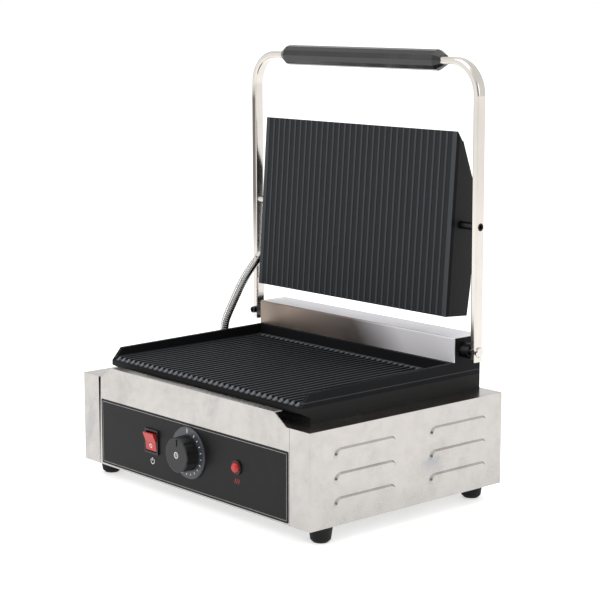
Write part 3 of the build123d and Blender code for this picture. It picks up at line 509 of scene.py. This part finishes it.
def smooth_line(name, route, divisions):
    """Points of one NURBS spline whose control points are the route's, in metres."""
    curve = bpy.data.curves.new(name, "CURVE")
    curve.dimensions = "3D"
    spline = curve.splines.new("NURBS")
    spline.points.add(len(route) - 1)
    for point, place in zip(spline.points, route):
        point.co = (*(c * MM for c in place), 1.0)
    spline.order_u = 3
    spline.use_endpoint_u = True
    spline.resolution_u = divisions
    holder = bpy.data.objects.new(name, curve)
    bpy.context.scene.collection.objects.link(holder)
    bpy.context.view_layer.update()
    mesh = bpy.data.meshes.new_from_object(holder)
    points = [v.co.copy() for v in mesh.vertices]
    bpy.data.objects.remove(holder)
    bpy.data.meshes.remove(mesh)
    return points


def line_length(points):
    return sum((b - a).length for a, b in zip(points, points[1:]))


def at_length(points, target):
    """The place and direction at a distance along a line of points."""
    gone = 0.0
    for a, b in zip(points, points[1:]):
        step = (b - a).length
        if gone + step >= target or b is points[-1]:
            return a.lerp(b, min(1.0, (target - gone) / step)), (b - a).normalized()
        gone += step


def ribbed_tube(name, points, radius, pitch, depth, finish):
    """A strip-wound tube: round ribs of the given pitch with narrow grooves between them."""
    length = line_length(points)
    sides = 28
    per_rib = 6
    rings = int(length / pitch) * per_rib
    vertices, faces = [], []
    for r in range(rings + 1):
        centre, along = at_length(points, length * r / rings)
        side = along.cross(Vector((1.0, 0.0, 0.0))).normalized()
        other = along.cross(side)
        wave = abs(sin(pi * r / per_rib))
        ring_radius = radius - depth * (1.0 - wave ** 0.6)
        for s in range(sides):
            turn = tau * s / sides
            vertices.append(centre + (side * cos(turn) + other * sin(turn)) * ring_radius)
    for r in range(rings):
        for s in range(sides):
            t = (s + 1) % sides
            faces.append((r * sides + s, r * sides + t, (r + 1) * sides + t, (r + 1) * sides + s))
    faces.append([s for s in reversed(range(sides))])
    faces.append([rings * sides + s for s in range(sides)])
    return new_piece(name, vertices, faces, finish, None, smooth=True)


hose_radius = 5.6 * MM
hose_line = smooth_line("hose_line", hose_route, 24)
winding_pitch = 2.6 * MM
winding_depth = 0.35 * MM
conduit_steel = plated("conduit_steel", None, 0.10)
# painted dark lines along the hose and under it imitate reflections; their direction suits the main view
line_direction = (-0.67, -0.65, 0.34)
sideways = conduit_steel.facing(line_direction)
line = sideways.between(0.24, 0.32) * (1.0 - sideways.between(0.44, 0.54)) + sideways.between(0.86, 0.94)
under = (1.0 - sideways.between(-0.42, -0.12)) * sideways.between(-0.96, -0.84)
lined = (line * 0.9 + under * 0.75).clamped()
# the edges of the winding's grooves are darkened: painted shade in the grooves
groove_shade = (conduit_steel.edges(0.0006) * 3.0).clamped() * 0.5
conduit_haze = conduit_steel.noise(200.0, detail=3.0) * 0.4
conduit_tone = conduit_steel.mix(conduit_haze, (0.58, 0.57, 0.56), (0.40, 0.39, 0.38))
darkened = (lined + groove_shade).clamped()
conduit_steel.set("Base Color", conduit_steel.mix(darkened, conduit_tone, (0.05, 0.05, 0.052)))
hose = ribbed_tube("ribbed_conduit", hose_line, hose_radius, winding_pitch, winding_depth,
                   conduit_steel)
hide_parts("power_conduit")
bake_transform(hose)


# ---------------------------------------------------------------- studio
def studio_floor():
    """A wide pale floor."""
    finish = Finish("floor_white", Emission_Color=(1.0, 1.0, 1.0, 1.0), Emission_Strength=0.5)
    shade = finish.noise(3.0, detail=2.0)
    finish.set("Base Color", finish.mix(shade * 0.3, (0.86, 0.86, 0.86), (0.83, 0.83, 0.835)))
    finish.set("Roughness", 0.5 + shade * 0.1)
    half = 150.0
    mesh = bpy.data.meshes.new("studio_floor")
    corners = [(-half, -half, 0), (half, -half, 0), (half, half, 0), (-half, half, 0)]
    mesh.from_pydata(corners, [], [(0, 1, 2, 3)])
    floor = bpy.data.objects.new("studio_floor", mesh)
    bpy.context.scene.collection.objects.link(floor)
    dress(floor, finish)


def soft_light(name, place, aim, size, watts):
    data = bpy.data.lights.new(name, "AREA")
    data.shape = "RECTANGLE"
    data.size, data.size_y = size
    data.energy = watts
    light = bpy.data.objects.new(name, data)
    light.location = place
    light.rotation_euler = (Vector(aim) - Vector(place)).to_track_quat("-Z", "Y").to_euler()
    bpy.context.scene.collection.objects.link(light)


def studio_world():
    """A pale surround that is darker towards the side the main view is taken from."""
    world = bpy.data.worlds.new("studio")
    world.use_nodes = True
    tree = world.node_tree
    background = tree.nodes["Background"]
    where = tree.nodes.new("ShaderNodeTexCoord")
    facing = tree.nodes.new("ShaderNodeVectorMath")
    facing.operation = "DOT_PRODUCT"
    dark_side = (0.74, -0.66, 0.0)
    facing.inputs[1].default_value = dark_side
    ramp = tree.nodes.new("ShaderNodeValToRGB")
    ramp.color_ramp.elements[0].position = 0.80
    ramp.color_ramp.elements[0].color = (1.06, 1.06, 1.06, 1.0)
    ramp.color_ramp.elements[1].position = 0.95
    ramp.color_ramp.elements[1].color = (0.10, 0.10, 0.11, 1.0)
    tree.links.new(where.outputs["Generated"], facing.inputs[0])
    tree.links.new(facing.outputs["Value"], ramp.inputs["Fac"])
    tree.links.new(ramp.outputs["Color"], background.inputs["Color"])
    background.inputs["Strength"].default_value = 0.95
    bpy.context.scene.world = world


studio_floor()
studio_world()
soft_light("key", (-0.9, -1.9, 1.7), (0.0, 0.0, 0.25), (1.2, 0.9), 15.0)
soft_light("fill", (2.2, 1.2, 1.1), (0.0, 0.0, 0.2), (1.0, 1.0), 7.0)
soft_light("top", (0.1, 0.2, 2.4), (0.0, 0.0, 0.2), (1.4, 1.2), 12.0)
bpy.context.scene.view_settings.view_transform = "Standard"
